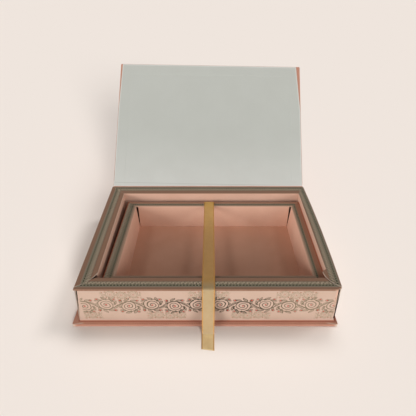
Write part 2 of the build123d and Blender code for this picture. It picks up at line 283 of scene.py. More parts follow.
# %% Table and sky
CREAM = ink(239, 229, 221)
WHITE = (1, 1, 1, 1)
SKY_SHARE = 0.12
TABLE_HALF = 30.0

table_mesh = bpy.data.meshes.new("table")
table_corners = [(-1, -1), (1, -1), (1, 1), (-1, 1)]
table_mesh.from_pydata([(x * TABLE_HALF, y * TABLE_HALF, 0) for x, y in table_corners], [], [range(4)])
table = bpy.data.objects.new("table", table_mesh)
bpy.context.scene.collection.objects.link(table)

table_finish = Finish(bpy.data.materials.new("table"))
matt = {"Base Color": CREAM, "Roughness": 1.0, "Specular IOR Level": 0.0}
table_surface = table_finish.node("BsdfPrincipled", {}, matt)
table_finish.node("OutputMaterial", {}, {"Surface": table_surface}, None)
table_mesh.materials.append(table_finish.owner)

sky = Finish(bpy.data.worlds.new("studio"))
bpy.context.scene.world = sky.owner
seen, mirrored, seen_through = [
    sky.node("LightPath", {}, {}, f"Is {kind} Ray") for kind in ("Camera", "Glossy", "Transmission")
]
backdrop = seen.most(mirrored).most(seen_through)
sky_colour = mix(sky, backdrop, WHITE, CREAM)
sky_strength = SKY_SHARE + backdrop * (1 - SKY_SHARE)
sky_light = sky.node("Background", {}, {"Color": sky_colour, "Strength": sky_strength})
sky.node("OutputWorld", {}, {"Surface": sky_light}, None)
print("table and sky ready")

# %% The suns
BOX_SUNS = {
    "left_low": {"round": -50, "up": 14, "share": 0.15, "spread": 22},
    "right_low": {"round": 50, "up": 14, "share": 0.10, "spread": 26},
    "left_high": {"round": -40, "up": 45, "share": 0.07, "spread": 10},
    "right_high": {"round": 40, "up": 45, "share": 0.06, "spread": 10},
}
TABLE_SUNS = {
    "behind": {"round": 180, "up": 60, "share": 0.17, "spread": 24},
    "behind_right": {"round": 150, "up": 60, "share": 0.20, "spread": 22},
}
RIGHT_SUN = {"right": {"round": 112, "up": 50, "share": 0.25, "spread": 18}}
FRONT_SUNS = {
    "front_low": {"round": 23, "up": 17, "share": 0.13, "spread": 13},
    "front_high": {"round": 23, "up": 27, "share": 0.13, "spread": 13},
}


def linked(name, members, state):
    """A collection for light linking: INCLUDE means its members only, EXCLUDE all but its members."""
    made = bpy.data.collections.new(name)
    for member in members:
        made.objects.link(member)
    for entry in made.collection_objects:
        entry.light_linking.link_state = state
    return made


def lit_by(suns, receivers, blockers=None):
    """Suns that light the receivers. The blockers throw their shadows, or all things if none are named."""
    for sun_name, facts in suns.items():
        turn = math.radians(facts["round"])
        rise = math.radians(facts["up"])
        light = bpy.data.lights.new(sun_name, "SUN")
        light.energy = math.pi * facts["share"] / math.sin(rise)
        light.angle = math.radians(facts["spread"])
        sun = bpy.data.objects.new(sun_name, light)
        level = math.cos(rise)
        towards_sun = Vector((math.sin(turn) * level, -math.cos(turn) * level, math.sin(rise)))
        sun.rotation_euler = towards_sun.to_track_quat("Z", "Y").to_euler()
        sun.light_linking.receiver_collection = receivers
        sun.light_linking.blocker_collection = blockers
        bpy.context.scene.collection.objects.link(sun)
        print(f"{sun_name}: {light.energy:.2f} W/m2, {facts['spread']} degrees wide")


only_table = linked("only_the_table", [table], "INCLUDE")
table_and_ribbon = linked("table_and_ribbon", [table], "INCLUDE")
lid_pieces = [nodes[name] for name in ("lid_board", "lid_wrap", "lid_liner")]
lit_by(BOX_SUNS, linked("all_but_the_table", [table], "EXCLUDE"))
lit_by(TABLE_SUNS, only_table)
lit_by(RIGHT_SUN, only_table, linked("all_but_the_lid", lid_pieces, "EXCLUDE"))
lit_by(FRONT_SUNS, table_and_ribbon)
shares = [facts["share"] for suns in (TABLE_SUNS, RIGHT_SUN, FRONT_SUNS) for facts in suns.values()]
print("the table's level:", round(SKY_SHARE + sum(shares), 2))

# %% [markdown]
# ## Where the walls are
#
# Each tray is four hollow walls of folded card, and the print on a wall is placed from its outer fold.
# The fold lines could be typed in, but read off the solids they stay right when the box changes: the flat
# of a rim ends one fold radius inside its fold. Three folds stray a little from a straight line, as they
# do on the real box.

# %% Read the fold lines
FOLD = {"tray": 0.8, "insert": 0.6}
FLAT_WITHIN = 0.05
SIDES = {"front": (1, 1), "back": (1, -1), "left": (0, 1), "right": (0, -1)}
RIGHT_BOW = 1.8
FRONT_DRAWN = 2.8
FRONT_DRAWN_RUN = 8.0
INSERT_SPLAY = 3.0

hinge_x, hinge_y, hinge_z = (part / MM for part in frame["joints"][0]["pos_m"])


def fold_lines(tray):
    """The outer fold of each wall's rim, in millimetres, and the rim's height."""
    lines = {}
    for side, (axis, inward) in SIDES.items():
        corners = [vertex.co / MM for vertex in nodes[f"{tray}_{side}_wall"].data.vertices]
        top = max(corner.z for corner in corners)
        flat = [corner[axis] * inward for corner in corners if corner.z > top - FLAT_WITHIN]
        lines[side] = (min(flat) - FOLD[tray]) * inward
    return lines, top


def stray(tray, side, along, half):
    """How far a wall's outer fold lies inside its outermost line at a place along the wall."""
    if (tray, side) == ("tray", "right"):
        return (along / half) * (along / half) * RIGHT_BOW
    if (tray, side) == ("tray", "front"):
        drawn = ((along - half) / FRONT_DRAWN_RUN + 1).most(0)
        return drawn * drawn * FRONT_DRAWN
    if (tray, side) == ("insert", "left"):
        return (along / half + 1) * (INSERT_SPLAY / 2)
    return 0


folds = {}
tops = {}
for tray in FOLD:
    folds[tray], tops[tray] = fold_lines(tray)
    rounded = {side: round(line, 1) for side, line in folds[tray].items()}
    print(f"{tray}: {rounded}, rim at {tops[tray]:.1f}")

# %% [markdown]
# ## Printed borders
#
# The rims carry a printed border: a brown stripe of fine lines, a light rule, a chain of dark beads, a
# band of lace and brown again. It could be an image, but drawn with formulas it stays sharp at any
# distance. Each strip is a small function of two lengths: how far across the border, and how far along
# the wall.

# %% Strips of the border
TURN = 2 * math.pi
BROWN = ink(158, 120, 97)
BROWN_DARK = ink(128, 92, 73)
BROWN_LIGHT = ink(186, 148, 122)
RULE = ink(152, 138, 121)
CHAIN_GROUND = ink(106, 99, 80)
CHAIN_RING = ink(184, 175, 146)
CHAIN_BEAD = ink(14, 13, 9)
CHAIN_DOT = ink(214, 202, 168)
FINE_PITCH = 0.9
CHAIN_WIDTH = 2.7
BEAD_STRETCH = 1.3
BEAD_RADIUS = 0.85
RING_INNER = 0.95
RING_OUTER = 1.25
DOT_RADIUS = 0.3
FINE_SHARES = {"dark": 0.75, "light": 0.6}


def fine_lines(finish, across):
    """Brown stripe: thin darker and lighter rules side by side."""
    wave = (across * (TURN / FINE_PITCH)).sine()
    striped = mix(finish, wave.rise(-0.2, 0.9) * FINE_SHARES["dark"], BROWN, BROWN_DARK)
    return mix(finish, (1 - wave.rise(-0.9, -0.3)) * FINE_SHARES["light"], striped, BROWN_LIGHT)


def bead_chain(finish, across, along, pitch):
    """Dark beads in a row, each in a pale ring, with a dot between neighbours."""
    u = ((along / pitch).part() - 0.5) * pitch
    v = across - CHAIN_WIDTH / 2
    from_bead = ((u / BEAD_STRETCH) * (u / BEAD_STRETCH) + v * v).root()
    from_dot = ((abs(u) - pitch / 2) * (abs(u) - pitch / 2) + v * v).root()
    colour = mix(finish, from_bead.band(RING_INNER, RING_OUTER), CHAIN_GROUND, CHAIN_RING)
    colour = mix(finish, 1 - from_bead.rise(BEAD_RADIUS, BEAD_RADIUS + 0.15), colour, CHAIN_BEAD)
    return mix(finish, 1 - from_dot.rise(DOT_RADIUS, DOT_RADIUS + 0.2), colour, CHAIN_DOT)


print("fine lines and beads ready")

# %% [markdown]
# The lace is the busiest strip: two threads that wave against each other, with loops in the eyes between
# them. It could be one tile repeated, but a strip of waves fits a band of any width. Seen from afar such
# lace breaks up into darker and lighter dabs, so some are laid over it, where two more waves meet.

# %% The lace
LACE_GROUND = ink(92, 79, 66)
LACE_HATCH = ink(62, 52, 42)
LACE_EYE = ink(158, 142, 120)
LACE_THREAD = ink(206, 186, 158)
LACE_DARK = ink(48, 40, 30)
LACE_LIGHT = ink(224, 208, 182)
LACE_SWING = 0.3
LACE_HEM = 0.43
SCALLOPS = 4
SCALLOP_DEPTH = 0.28
LOOP_RADIUS = 0.6
THREAD_WIDTH = 0.7
LOOP_WIDTH = 0.35
HEM_WIDTH = 0.4
HATCH_PITCH = 0.8
DAB_TURNS = {"along": 1.9, "slow": 0.47, "across": 1.3}
LACE_SHARES = {"hatch": 0.5, "eye": 0.75, "thread": 0.9, "dark": 0.65, "light": 0.45}


def lace(finish, across, along, width, pitch):
    """Two crossing waves of pale thread round filled eyes, with loops in them, on a grey-brown ground."""
    wave = (along * (TURN / pitch)).sine() * (width * LACE_SWING)
    v = across - width / 2
    u = ((along * (2 / pitch)).part() - 0.5) * (pitch / 2)
    from_loop = (u * u + v * v).root()
    scallop = (along * (TURN / pitch * SCALLOPS)).sine() * SCALLOP_DEPTH
    threads = (v - wave).line(THREAD_WIDTH).most((v + wave).line(THREAD_WIDTH))
    threads = threads.most((from_loop - LOOP_RADIUS).line(LOOP_WIDTH))
    threads = threads.most((abs(v) - (width * LACE_HEM) + scallop).line(HEM_WIDTH))
    hatch = ((across + along) * (TURN / HATCH_PITCH)).sine().rise(0, 1)
    eyes = (abs(wave) - abs(v)).rise(-0.1, 0.3)
    ground = mix(finish, hatch * LACE_SHARES["hatch"], LACE_GROUND, LACE_HATCH)
    ground = mix(finish, eyes * LACE_SHARES["eye"], ground, LACE_EYE)
    colour = mix(finish, threads * LACE_SHARES["thread"], ground, LACE_THREAD)
    slanted = (along * DAB_TURNS["slow"] + across * DAB_TURNS["across"]).sine()
    dabs = (along * DAB_TURNS["along"]).sine() * slanted
    colour = mix(finish, dabs.rise(0.1, 0.6) * LACE_SHARES["dark"], colour, LACE_DARK)
    return mix(finish, (1 - dabs.rise(-0.7, -0.2)) * LACE_SHARES["light"], colour, LACE_LIGHT)


print("lace ready")

# %% [markdown]
# The outer border and the inner tray's border hold like strips in another order. A wide band shows all of
# it; a narrow one is cut off at its inner fold, as a printed sheet is that was scored a little off its
# print. So a border is a function of where its rule or its chain starts, and each wall has its own start.

# %% Whole borders
RULE_WIDTH = 1.1
OUTER_BEAD_PITCH = 3.3
OUTER_LACE_PITCH = 6.2
OUTER_START = {"front": 3.7, "back": 1.8, "left": 5.5, "right": 1.4}
LACE_WIDTH = {"front": 3.6, "back": 4.8, "left": 4.6, "right": 5.0}
INNER_START = {"front": 4.6, "back": 4.6, "left": 6.2, "right": 6.6}
RUST = ink(192, 106, 74)
RUST_SHARE = {"front": 0.0, "back": 0.35, "left": 0.0, "right": 0.2}
RUST_WIDTH = 0.9
INNER_LACE_PITCH = 5.6
INNER_BEAD_PITCH = 3.0
STRIPE = ink(160, 134, 114)
STRIPE_WIDTH = 1.1
BARE = ink(196, 160, 136)
LAST_LINE = 0.4


def outer_border(finish, across, along, side):
    """Tray rim from its outer fold inwards: brown, light rule, beads, lace, brown."""
    chain = OUTER_START[side] + RULE_WIDTH
    thread = chain + CHAIN_WIDTH
    end = thread + LACE_WIDTH[side]
    colour = fine_lines(finish, across)
    colour = mix(finish, across.band(OUTER_START[side], chain), colour, RULE)
    beads = bead_chain(finish, across - chain, along, OUTER_BEAD_PITCH)
    colour = mix(finish, across.band(chain, thread), colour, beads)
    netting = lace(finish, across - thread, along, LACE_WIDTH[side], OUTER_LACE_PITCH)
    colour = mix(finish, across.band(thread, end), colour, netting)
    return mix(finish, across.band(end, end + LAST_LINE), colour, BROWN_DARK)


def inner_border(finish, across, along, side):
    """Inner tray's rim: rusty edge, lace or fine lines, beads, a stripe and bare card at the inner fold."""
    chain = INNER_START[side]
    end = chain + CHAIN_WIDTH
    if side == "right":
        textured = fine_lines(finish, across)
    else:
        textured = lace(finish, across, along, chain, INNER_LACE_PITCH)
    textured = mix(finish, RUST_SHARE[side], textured, RUST)
    colour = mix(finish, across.rise(RUST_WIDTH, RUST_WIDTH + 0.4), RUST, textured)
    colour = mix(finish, across.rise(end - 0.1, end + 0.1), colour, STRIPE)
    colour = mix(finish, across.rise(end + STRIPE_WIDTH, end + STRIPE_WIDTH + 0.4), colour, BARE)
    beads = bead_chain(finish, across - chain, along, INNER_BEAD_PITCH)
    return mix(finish, across.band(chain, end), colour, beads)


print("borders ready")

# %% [markdown]
# ## Ornament on the outer panels
#
# Each outer panel carries a line ornament in grey-green with small red berries. It could be drawn stroke
# by stroke, but a running scroll needs one cell only: a stem that waves along the panel, and in each bend
# a spiral ringed with leaves. Every second cell is turned over, so the stem runs on from cell to cell.

# %% The running scroll
CELL = 29.0
STEM_SWING = 8.0
SPIRAL_REACH = 9.2
SPIRAL_PITCH = 3.8
SPIRAL_EYE = 1.4
SPIRAL_TURNED = 0.25
LEAVES = 9
LEAF_GAP = 0.4
LEAF_REACH = 6.4
LEAF_HALF = 2.3
LEAF_LEAN = 0.11
LEAFLET_PITCH = 3.2
LEAFLET_HALF = 1.1
LEAFLET_LEAN = 0.6
LEAFLET_START = 0.6
STEM_WIDTH = 1.7
STEM_CLEAR = 0.9
PEN_WIDTH = 1.1
SMALL_PEN_WIDTH = 0.9
TWIG_PEN_WIDTH = 0.6
RIB_PEN_WIDTH = 0.5
HEART_RADIUS = 1.1
BERRY_RADIUS = 1.0
BERRY_PLACE = (CELL * 0.36, SPIRAL_REACH * 1.18)
TWIG_RADIUS = 2.0
HATCH_WIDTH = 1.3
WOBBLE_SIZE = 9.0
WOBBLE_ALONG = 4.0
WOBBLE_UP = 3.0


def running_scroll(finish, spot, along, height, scale):
    """Ink, half-tone and berries of the scroll, each from 0 to 1. Height is from its middle line.

    In a cell, u runs along from its middle, v up from the middle line, and w up from the spiral's eye.
    """
    # The cell, and the place in it. Flip is 1 in every second cell and -1 in the others.
    wobble = grain(finish, spot, WOBBLE_SIZE, 1.0) - 0.5
    q = abs(along) / scale + wobble * WOBBLE_ALONG
    count = (q / CELL).floor()
    flip = 1 - (count * 0.5).part() * 4
    u = q - (count + 0.5) * CELL
    v = (height / scale + wobble * WOBBLE_UP) * flip
    stem = v + (u * (math.pi / CELL)).cosine() * STEM_SWING
    w = v - (SPIRAL_REACH - STEM_SWING)
    radius = (u * u + w * w).root()
    angle = w.turn(u)

    # The spiral. The count of turns grows with the radius and falls with the angle.
    turns = radius / SPIRAL_PITCH - angle / TURN - (SPIRAL_REACH / SPIRAL_PITCH + SPIRAL_TURNED)
    near_turn = turns - (turns + 0.5).floor()
    spiral = (near_turn * SPIRAL_PITCH).line(PEN_WIDTH) * (1 - turns.rise(0.3, 0.4))
    spiral = spiral * radius.rise(SPIRAL_EYE, SPIRAL_EYE + 0.4)

    # Leaves round the spiral, each widest halfway from its foot to its tip, and clear of the stem.
    petal = ((angle * (LEAVES / TURN) + radius * LEAF_LEAN).part() - 0.5) * radius * (TURN / LEAVES)
    outward = (radius - SPIRAL_REACH - LEAF_GAP) / LEAF_REACH
    leaf_width = (outward.most(0).least(1) * math.pi).sine() * LEAF_HALF
    outline = (abs(petal) - leaf_width).line(PEN_WIDTH) * outward.band(0, 1, 0.05)
    rib = petal.line(RIB_PEN_WIDTH) * outward.band(0.05, 0.85, 0.05)
    clear = abs(stem).rise(STEM_CLEAR, STEM_CLEAR + 0.5)

    # Leaflets along the stem, where the large leaves don't reach.
    from_stem = (abs(stem) - LEAFLET_START) / LEAFLET_PITCH
    leaflet_width = (from_stem.most(0).least(1) * math.pi).sine() * LEAFLET_HALF
    leaflet = ((u / LEAFLET_PITCH - from_stem * LEAFLET_LEAN).part() - 0.5) * LEAFLET_PITCH
    leaflets = (abs(leaflet) - leaflet_width).line(SMALL_PEN_WIDTH) * from_stem.band(0, 1, 0.05)
    leaflets = leaflets * outward.rise(0.9, 1.0)

    # A berry in the spiral's eye, and one in a ring of twig in each corner of the cell.
    berry_u = abs(u) - BERRY_PLACE[0]
    berry_w = abs(w) - BERRY_PLACE[1]
    from_berry = (berry_u * berry_u + berry_w * berry_w).root()
    heart = 1 - radius.rise(HEART_RADIUS, HEART_RADIUS + 0.3)
    berries = heart.most(1 - from_berry.rise(BERRY_RADIUS, BERRY_RADIUS + 0.3))
    twig = (from_berry - TWIG_RADIUS).line(TWIG_PEN_WIDTH)
    leaf_lines = outline.most(rib).most(twig) * clear
    ink_line = stem.line(STEM_WIDTH).most(spiral).most(leaflets).most(leaf_lines)
    hatch = ((radius + abs(petal)) * (TURN / HATCH_WIDTH)).sine().rise(-0.2, 0.6)
    tone = (leaf_width - abs(petal)).rise(0.0, 0.2) * clear * hatch
    return ink_line, tone, berries


print(f"scroll cell {CELL} mm")

# %% [markdown]
# ## Card
#
# The walls and floors are pale card with a laid grain: fine lines from the mould and a few fibres. The
# box has it in a beige pink on the printed outside and in warmer peach tones inside. The same stock
# serves every card piece, so it is one function that gives a colour and the relief that goes with it.

# %% Laid card
OUTSIDE_CARD = {"ground": ink(196, 168, 150), "light": ink(204, 177, 160), "dark": ink(178, 150, 131)}
TRAY_CARD = {"ground": ink(217, 175, 152), "light": ink(226, 185, 163), "dark": ink(193, 146, 122)}
INSERT_CARD = {"ground": ink(221, 176, 152), "light": ink(229, 186, 163), "dark": ink(195, 146, 122)}
# A darker copy of the inner tray's card for its floor: painted shade.
SHADED_FLOOR_CARD = {"ground": ink(213, 163, 136), "light": ink(221, 172, 146), "dark": ink(189, 135, 108)}
CUT_EDGE = ink(226, 208, 190)
# Painted shade inside the hollow walls.
HOLLOW_SHADE = ink(52, 24, 16)
LAID_PITCH = 1.1
CLOUD_SIZE = 22.0
FIBRE_SIZE = 0.7
CARD_SHARES = {"light": 0.5, "fibres": 0.3, "laid": 0.12}
FLOOR_ROUGHNESS = 0.78
FLOOR_DEPTH = 0.06


def card_stock(finish, spot, rows, tones):
    """Colour and relief of laid card. Rows is the length in millimetres that crosses the laid lines."""
    cloud = grain(finish, spot, CLOUD_SIZE, 2.0).rise(0.3, 0.7)
    fibres = grain(finish, spot, FIBRE_SIZE, 4.0)
    laid = (rows * (TURN / LAID_PITCH)).sine()
    colour = mix(finish, cloud * CARD_SHARES["light"], tones["ground"], tones["light"])
    colour = mix(finish, fibres.rise(0.5, 0.72) * CARD_SHARES["fibres"], colour, tones["dark"])
    colour = mix(finish, laid.rise(0.2, 1.0) * CARD_SHARES["laid"], colour, tones["dark"])
    return colour, fibres * 0.8 + laid * 0.2


def floor_card(name, tones):
    """Unprinted card, for a floor."""
    finish = Finish(bpy.data.materials.new(name))
    spot = place(finish)
    colour, relief = card_stock(finish, spot, parts(spot)[1], tones)
    return cover(finish, colour, FLOOR_ROUGHNESS, relief, FLOOR_DEPTH)


dress(["tray_floor"], floor_card("tray_floor_card", TRAY_CARD))
dress(["insert_floor"], floor_card("insert_floor_card", SHADED_FLOOR_CARD))

# %% [markdown]
# The panels' print is a row of the scroll along the middle, dark at the panel's middle and paler towards
# its ends. Above and below it small pale scrolls, as fine as lace, come and go by turns and leave bare
# card between.

# %% Printed panel
SCROLL_MIDDLE = {"middle": 24.2, "scale": 0.8}
SCROLL_EDGES = [{"middle": 8.0, "scale": 0.4, "turned": -1}, {"middle": 40.6, "scale": 0.4, "turned": 1}]
SPRAY_PITCH = 88.0
PANEL_MARGIN = 3.0
WORN_SIZE = 3.0
WORN_LEAST = 0.8
PRINT_SHARES = {"pale_tone": 0.7, "tone": 0.85, "berry": 0.9}
INK_PALE = ink(150, 136, 112)
INK_ENDS = ink(116, 104, 80)
INK_MIDDLE = ink(44, 39, 25)
TONE_PALE = ink(176, 152, 130)
TONE_ENDS = ink(150, 132, 108)
TONE_MIDDLE = ink(96, 85, 62)
BERRY = ink(176, 50, 36)


def printed_panel(finish, colour, spot, along, height, half):
    """The ornament over the card, within the panel's margins."""
    room = 1 - abs(along).rise(half - PANEL_MARGIN - 2, half - PANEL_MARGIN)
    worn = grain(finish, spot, WORN_SIZE, 2.0).rise(0.2, 0.55) * (1 - WORN_LEAST) + WORN_LEAST
    sprays = (along * (TURN / SPRAY_PITCH)).cosine()
    for row in SCROLL_EDGES:
        shown = room * (sprays * row["turned"]).rise(0.0, 0.25)
        ink_line, tone, berries = running_scroll(finish, spot, along, height - row["middle"], row["scale"])
        colour = mix(finish, tone * shown * PRINT_SHARES["pale_tone"], colour, TONE_PALE)
        colour = mix(finish, ink_line * shown * worn, colour, INK_PALE)
        colour = mix(finish, berries * shown * PRINT_SHARES["berry"], colour, BERRY)
    row = SCROLL_MIDDLE
    ink_line, tone, berries = running_scroll(finish, spot, along, height - row["middle"], row["scale"])
    towards_end = abs(along).rise(half * 0.2, half * 0.75)
    tone_colour = mix(finish, towards_end, TONE_MIDDLE, TONE_ENDS)
    colour = mix(finish, tone * room * PRINT_SHARES["tone"], colour, tone_colour)
    line_colour = mix(finish, towards_end, INK_MIDDLE, INK_ENDS)
    colour = mix(finish, ink_line * room * worn, colour, line_colour)
    return mix(finish, berries * room * PRINT_SHARES["berry"], colour, BERRY)


print("panel print ready")

# %% [markdown]
# A wall is one sheet that is printed, cut and folded. It could be split into faces with a material each,
# but its finish can as well be chosen by the way that the surface faces: upwards it is the border, which
# runs a little way round the outer fold; outwards the ornament, or on the inner tray a painted shade that
# darkens the gap round it; along the wall a pale cut edge; and inside the fold, where no light comes, a
# painted shade.

# %% Finish of one wall
# Painted shade on the inner tray's outer faces, which darkens the gap round it.
GAP_SHADE = ink(112, 58, 40)
FOLD_REACH = 1.4
SHEET_REACH = 2.5
PANEL_LEAN = 4.0
BAND_RIGHT = 9.8
CARD_THICK = 0.9
CRACK_SIZE = 1.4
CRACK_AND_HIGHLIGHT_SHARE = 0.35
CARD_ROUGHNESS = 0.72
CARD_DEPTH = 0.05


def wall_card(tray, side, border, tones):
    """The printed card of one wall."""
    finish = Finish(bpy.data.materials.new(f"{tray}_{side}_card"))
    spot = place(finish)
    where = parts(spot)
    way = facing(finish)
    z = where[2]
    face_z = way[2]

    # Along the wall from its middle, across it from its outer fold, and down from the rim.
    axis, inward = SIDES[side]
    ends = ("front", "back") if axis == 0 else ("left", "right")
    low_end, high_end = (folds[tray][end] for end in ends)
    along = where[1 - axis] - (low_end + high_end) / 2
    half = (high_end - low_end) / 2
    across = (where[axis] - folds[tray][side]) * inward - stray(tray, side, along, half)
    outward = way[axis] * -inward
    from_top = tops[tray] - z

    # Card inside, print or painted shade outside, and on top the border, a little cracked along its folds
    # and lightened there by a painted highlight.
    colour, relief = card_stock(finish, spot, z, tones)
    on_panel = outward.rise(0.5, 0.8) * (1 - across.rise(0.6, 1.0))
    outside = GAP_SHADE
    if tray == "tray":
        printed_ground, _ = card_stock(finish, spot, z, OUTSIDE_CARD)
        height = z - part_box("tray_floor")[1].z / MM
        outside = printed_panel(finish, printed_ground, spot, along, height, half)
    colour = mix(finish, on_panel, colour, outside)
    round_fold = (1 - from_top.rise(FOLD_REACH, FOLD_REACH + 0.5)) * (1 - across.rise(1.5, SHEET_REACH))
    on_rim = face_z.rise(0.35, 0.7).most(round_fold)
    colour = mix(finish, on_rim, colour, border(finish, across, along, side))
    # Cracked print along the folds, lightened by a painted highlight where the fold turns from top to side.
    cracks_and_highlight = grain(finish, spot, CRACK_SIZE, 3.0).rise(0.4, 0.6) * CRACK_AND_HIGHLIGHT_SHARE
    colour = mix(finish, face_z.band(0.15, 0.6, 0.1) * cracks_and_highlight, colour, tones["light"])

    # Painted shade where the sheet faces its own hollow or faces down, and pale where it is cut.
    hollow_shade = outward.rise(0.5, 0.8) * across.rise(SHEET_REACH, SHEET_REACH + 0.5)
    behind_panel = 1 - across.rise(PANEL_LEAN, PANEL_LEAN + 0.5)
    hollow_shade = hollow_shade.most((1 - outward.rise(-0.8, -0.5)) * behind_panel)
    hollow_shade = hollow_shade.most(1 - face_z.rise(-0.8, -0.5))
    colour = mix(finish, hollow_shade, colour, HOLLOW_SHADE)
    cut = abs(way[1 - axis]).rise(0.3, 0.6)
    if (tray, side) in (("tray", "left"), ("tray", "right")):
        in_sheet = 1 - from_top.rise(CARD_THICK, CARD_THICK + 0.1)
        off_folds = across.rise(1.2, 1.5) * (1 - across.band(BAND_RIGHT - 1.0, BAND_RIGHT + 0.6))
        cut = cut.most(in_sheet * off_folds * (1 - abs(face_z).rise(0.3, 0.6)))
    colour = mix(finish, cut, colour, CUT_EDGE)
    return cover(finish, colour, CARD_ROUGHNESS, relief, CARD_DEPTH)


for side in SIDES:
    dress([f"tray_{side}_wall"], wall_card("tray", side, outer_border, TRAY_CARD))
    dress([f"insert_{side}_wall"], wall_card("insert", side, inner_border, INSERT_CARD))

# %% [markdown]
# ## Wrap
#
# The base and the lid are grey board in a salmon paper with a small embossed diamond. The emboss is two
# waves multiplied, which raises a point where both are high and leaves the points staggered. It runs over
# tops and edges alike, so it is measured along whichever two directions the surface spans.

# %% Embossed wrap
SALMON = ink(190, 136, 114)
SALMON_HIGHLIGHT = ink(212, 168, 146)
SALMON_DARK = ink(164, 106, 86)
POINT_PITCH = 2.5
WRAP_FIBRE_SIZE = 0.8
WRAP_CLOUD_SIZE = 18.0
WRAP_SHARES = {"cloud": 0.3, "points": 0.8, "emboss_shade": 0.6}
WRAP_ROUGHNESS = 0.62
WRAP_DEPTH = 0.12


def embossed(finish, spot, a, b):
    """Colour and relief of the emboss over two lengths in the surface."""
    points = (a * (TURN / POINT_PITCH)).cosine() * (b * (TURN / POINT_PITCH)).cosine()
    fibres = grain(finish, spot, WRAP_FIBRE_SIZE, 3.0)
    cloud = grain(finish, spot, WRAP_CLOUD_SIZE, 2.0).rise(0.3, 0.7)
    emboss_shade = 1 - points.rise(-0.9, -0.2)
    colour = mix(finish, cloud * WRAP_SHARES["cloud"], SALMON, SALMON_DARK)
    # Painted highlight on the raised points and painted shade in the hollows between them.
    colour = mix(finish, points.rise(0.25, 0.8) * WRAP_SHARES["points"], colour, SALMON_HIGHLIGHT)
    colour = mix(finish, emboss_shade * WRAP_SHARES["emboss_shade"], colour, SALMON_DARK)
    return colour, points + fibres * 0.4


def wrap_plane(facts, face_across, face_through):
    """The two lengths that a wrapped board's surface spans, out of three: across, along and through."""
    across, along, through = facts
    on_end = abs(face_across).rise(0.6, 0.8)
    on_face = abs(face_through).rise(0.6, 0.8)
    return across + (along - across) * on_end, through + (along - through) * on_face


print("emboss ready")

# %% [markdown]
# On the base, painted shade darkens the wrap in a line along the tray's foot, and the tuck at each front
# corner leaves a pale crease. Both could be strips of geometry, but they are no wider than a line, so they
# are drawn into the finish, from the places of the pieces that leave them.

# %% The base's wrap
FOOT_SHADE = ink(150, 80, 58)
CREASE_SLOPE = 0.16
CREASE_LENGTH = 12.0
CREASE_WIDTH = 0.9
FOOT_SHADE_SHARE = 0.8
CREASE_SHARE = 0.7

base_finish = Finish(bpy.data.materials.new("base_wrap"))
spot = place(base_finish)
x, y, z = parts(spot)
face_x, _, face_z = facing(base_finish)
colour, relief = embossed(base_finish, spot, *wrap_plane((x, y, z), face_x, face_z))
foot = {side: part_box(f"tray_{side}_wall") for side in SIDES}
beyond_sides = (foot["left"][0].x / MM - x).most(x - foot["right"][1].x / MM)
beyond_foot = beyond_sides.most(foot["front"][0].y / MM - y).most(y - foot["back"][1].y / MM)
# Painted shade along the tray's foot.
foot_shade_line = (1 - beyond_foot.rise(0.6, 1.8)) * face_z.rise(0.6, 0.8)
colour = mix(base_finish, foot_shade_line * FOOT_SHADE_SHARE, colour, FOOT_SHADE)
base_low, base_high = (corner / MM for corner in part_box("base_wrap"))
from_end = (x - base_low.x).least(base_high.x - x)
crease = (y - base_low.y - from_end * CREASE_SLOPE).line(CREASE_WIDTH, 0.2)
crease = crease * (1 - from_end.rise(CREASE_LENGTH - 2, CREASE_LENGTH))
colour = mix(base_finish, crease * CREASE_SHARE, colour, CUT_EDGE)
dress(["base_wrap"], cover(base_finish, colour, WRAP_ROUGHNESS, relief - crease * 0.8, WRAP_DEPTH))

hinge_finish = Finish(bpy.data.materials.new("hinge_wrap"))
spot = place(hinge_finish)
x, _, z = parts(spot)
colour, relief = embossed(hinge_finish, spot, x, z)
dress(["hinge_strip"], cover(hinge_finish, colour, WRAP_ROUGHNESS, relief, WRAP_DEPTH))

# %% [markdown]
# The lid stands open at an angle and a touch askew on its hinge, so its finishes are laid out in its own
# plane: lengths across the lid, along it from the hinge line, and through its thickness, turned back from
# both angles.

# %% The lid's own plane
LID_OPEN = math.radians(44.1)
LID_ASKEW = math.radians(1.1)


def lid_plane(finish):
    """The place on the lid: the vector, across the lid, along it from the hinge, and up through it."""
    spot = place(finish)
    x, y, z = parts(spot)
    flat_along = (y - hinge_y) * math.cos(LID_OPEN) + (z - hinge_z) * math.sin(LID_OPEN)
    through = (z - hinge_z) * math.cos(LID_OPEN) - (y - hinge_y) * math.sin(LID_OPEN)
    across = (x - hinge_x) * math.cos(LID_ASKEW) - flat_along * math.sin(LID_ASKEW)
    along = (x - hinge_x) * math.sin(LID_ASKEW) + flat_along * math.cos(LID_ASKEW)
    return spot, across, along, through


lid_finish = Finish(bpy.data.materials.new("lid_wrap"))
spot, *lid_facts = lid_plane(lid_finish)
face_x, face_y, face_z = facing(lid_finish)
face_through = face_z * math.cos(LID_OPEN) - face_y * math.sin(LID_OPEN)
colour, relief = embossed(lid_finish, spot, *wrap_plane(lid_facts, face_x, face_through))
dress(["lid_wrap"], cover(lid_finish, colour, WRAP_ROUGHNESS, relief, WRAP_DEPTH))

# %% [markdown]
# ## Lining
#
# The lid's lining is a pale grey-green paper with a fine tooth. Painted shade makes it a little darker
# towards its free edge, and darker along the crease at the hinge. It is pressed over the turned-in margins
# of the wrap, whose edge shows as a very faint step all round. Its sides run parallel for about two thirds
# of the lid and then draw in, so the narrow pressed line along its edge is measured from the drawn-in sides
# and not from the lid's.

